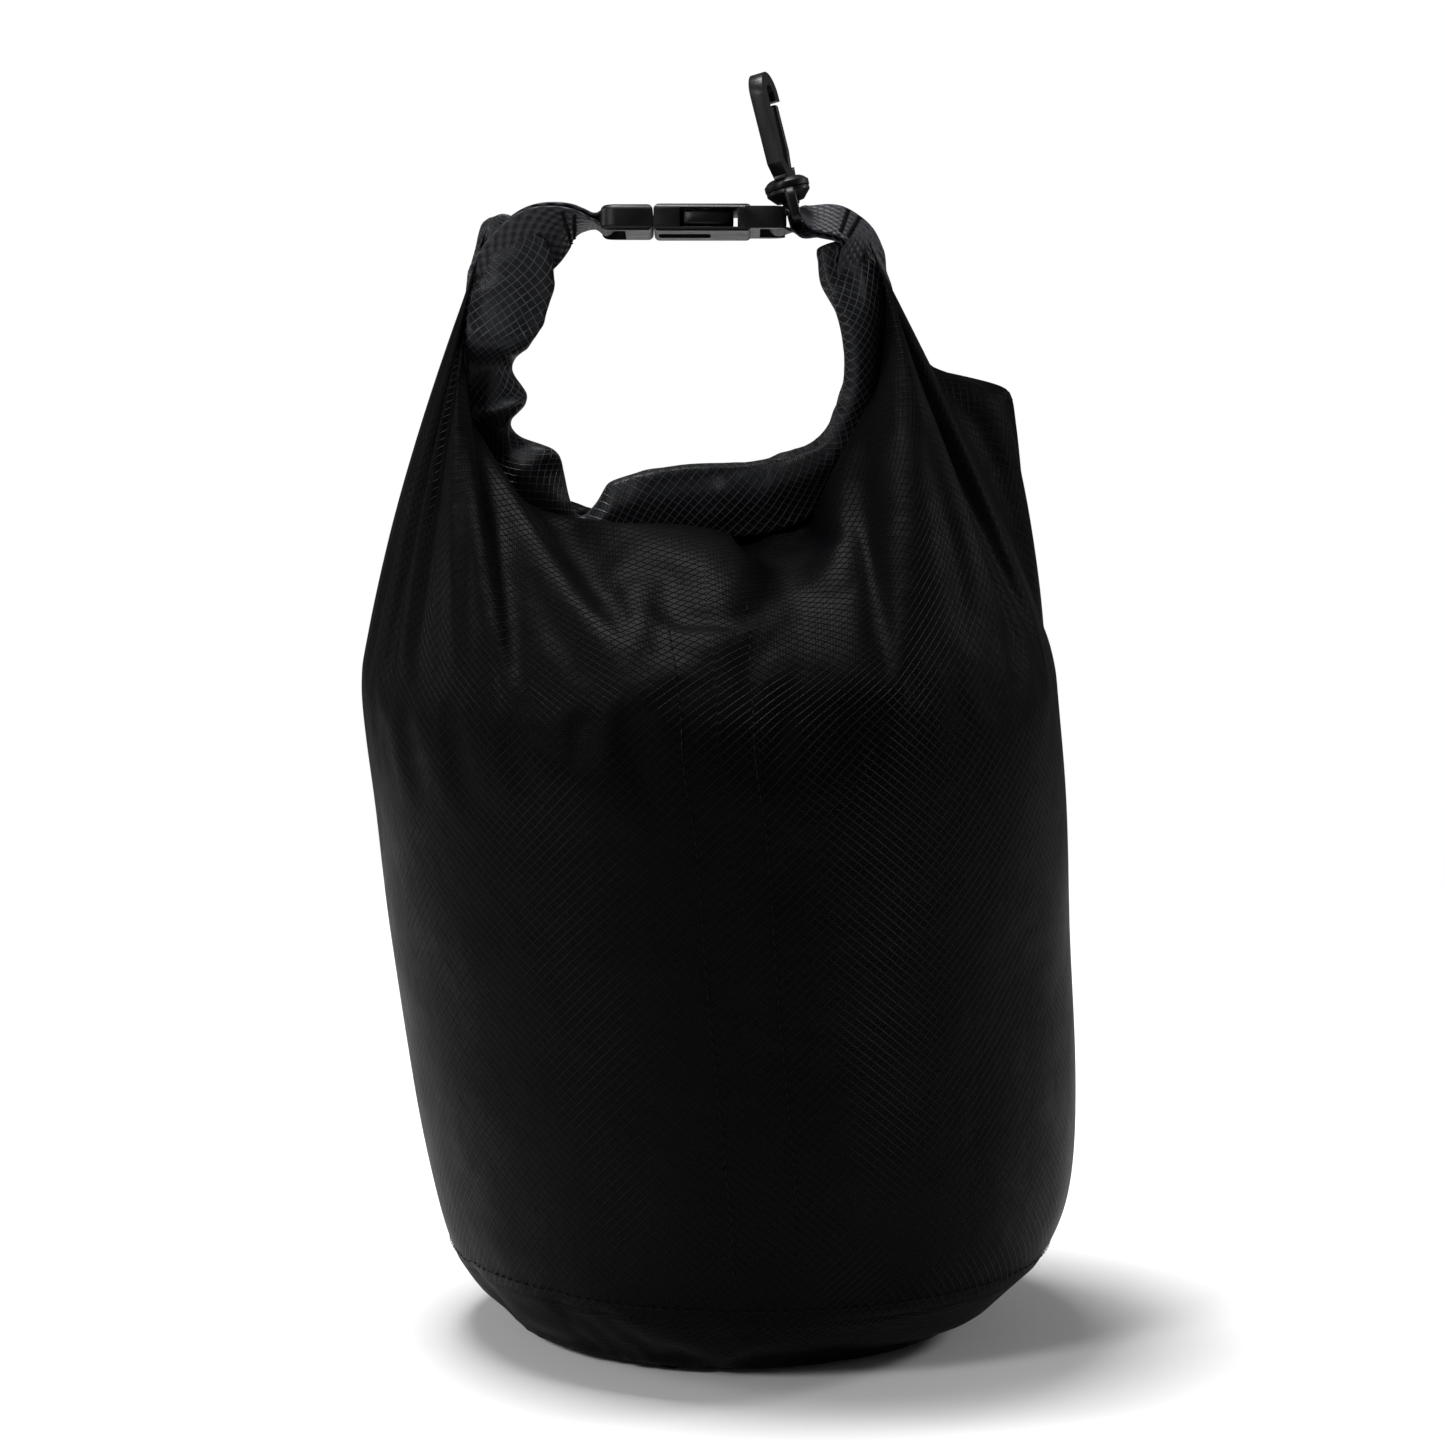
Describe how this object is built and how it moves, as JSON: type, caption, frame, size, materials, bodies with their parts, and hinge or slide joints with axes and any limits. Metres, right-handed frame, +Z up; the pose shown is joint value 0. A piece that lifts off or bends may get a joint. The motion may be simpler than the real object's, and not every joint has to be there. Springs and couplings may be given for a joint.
{
  "type": "roll-top storage bag",
  "caption": "Round-based roll-top fabric bag for rope, its rolled mouth buckled into a carrying handle, with a plastic swivel hook on one tab.",
  "frame": {"origin": "centre of the base, on the surface that the bag stands on", "axes": "+Z up through the rolled mouth and the handle; +X along the buckle, towards its female half and the swivel hook; -Y towards the front, where the wall seam is"},
  "size_m": [0.2121, 0.1909, 0.37],
  "materials": {
    "shell_fabric": "satin",
    "seam_tape": "satin",
    "sewing_thread": "matte",
    "mouth_strip": "matte",
    "webbing": "matte",
    "buckle_plastic": "satin",
    "hook_plastic": "satin"
  },
  "bodies": {
    "bag": {"base_panel": "shell_fabric", "wall_panel": "shell_fabric", "shoulder_panel": "shell_fabric", "base_seam_tape": "seam_tape", "wall_seam_tape": "seam_tape", "base_seam_thread": "sewing_thread", "wall_seam_thread": "sewing_thread", "roll_bridge": "shell_fabric", "roll_right_arm": "shell_fabric", "mouth_strip_front": "mouth_strip", "mouth_strip_rear": "mouth_strip", "webbing_right": "webbing", "stitching_right": "sewing_thread", "buckle_female": "buckle_plastic"},
    "left_end": {"roll_left_arm": "shell_fabric", "webbing_left": "webbing", "stitching_left": "sewing_thread", "buckle_male": "buckle_plastic"},
    "prong_front": {"buckle_prong_front": "buckle_plastic"},
    "prong_rear": {"buckle_prong_rear": "buckle_plastic"},
    "hook_base": {"hook_swivel_loop": "hook_plastic"},
    "hook": {"hook_body": "hook_plastic"},
    "gate": {"hook_gate": "hook_plastic"}
  },
  "joints": [
    {"name": "buckle_release", "type": "slide", "parent": "bag", "child": "left_end", "axis": [-1, 0, 0], "range_m": [0, 0.026], "deforming": ["shoulder_panel", "roll_bridge", "mouth_strip_front", "mouth_strip_rear", "buckle_prong_front", "buckle_prong_rear"]},
    {"name": "prong_front_squeeze", "type": "hinge", "parent": "left_end", "child": "prong_front", "pos_m": [-0.0197, -0.00717, 0.3285], "axis": [0, 0.1908, 0.9816], "range_deg": [0, 8], "stiffness_Nm_per_rad": 0.05},
    {"name": "prong_rear_squeeze", "type": "hinge", "parent": "left_end", "child": "prong_rear", "pos_m": [-0.0197, 0.00717, 0.32571], "axis": [0, -0.1908, -0.9816], "range_deg": [0, 8], "stiffness_Nm_per_rad": 0.05},
    {"name": "hook_tilt", "type": "hinge", "parent": "bag", "child": "hook_base", "pos_m": [0.0212, 0, 0.32711], "axis": [0, 0.9816, -0.1908], "range_deg": [-8, 34]},
    {"name": "hook_swivel", "type": "hinge", "parent": "hook_base", "child": "hook", "pos_m": [0.0212, 0, 0.32711], "axis": [-0.2419, 0.1851, 0.9525], "continuous": true},
    {"name": "gate_squeeze", "type": "hinge", "parent": "hook", "child": "gate", "pos_m": [0.01824, 0.00605, 0.3424], "axis": [0.9174, -0.2759, 0.2867], "range_deg": [0, 17], "stiffness_Nm_per_rad": 0.02}
  ]
}
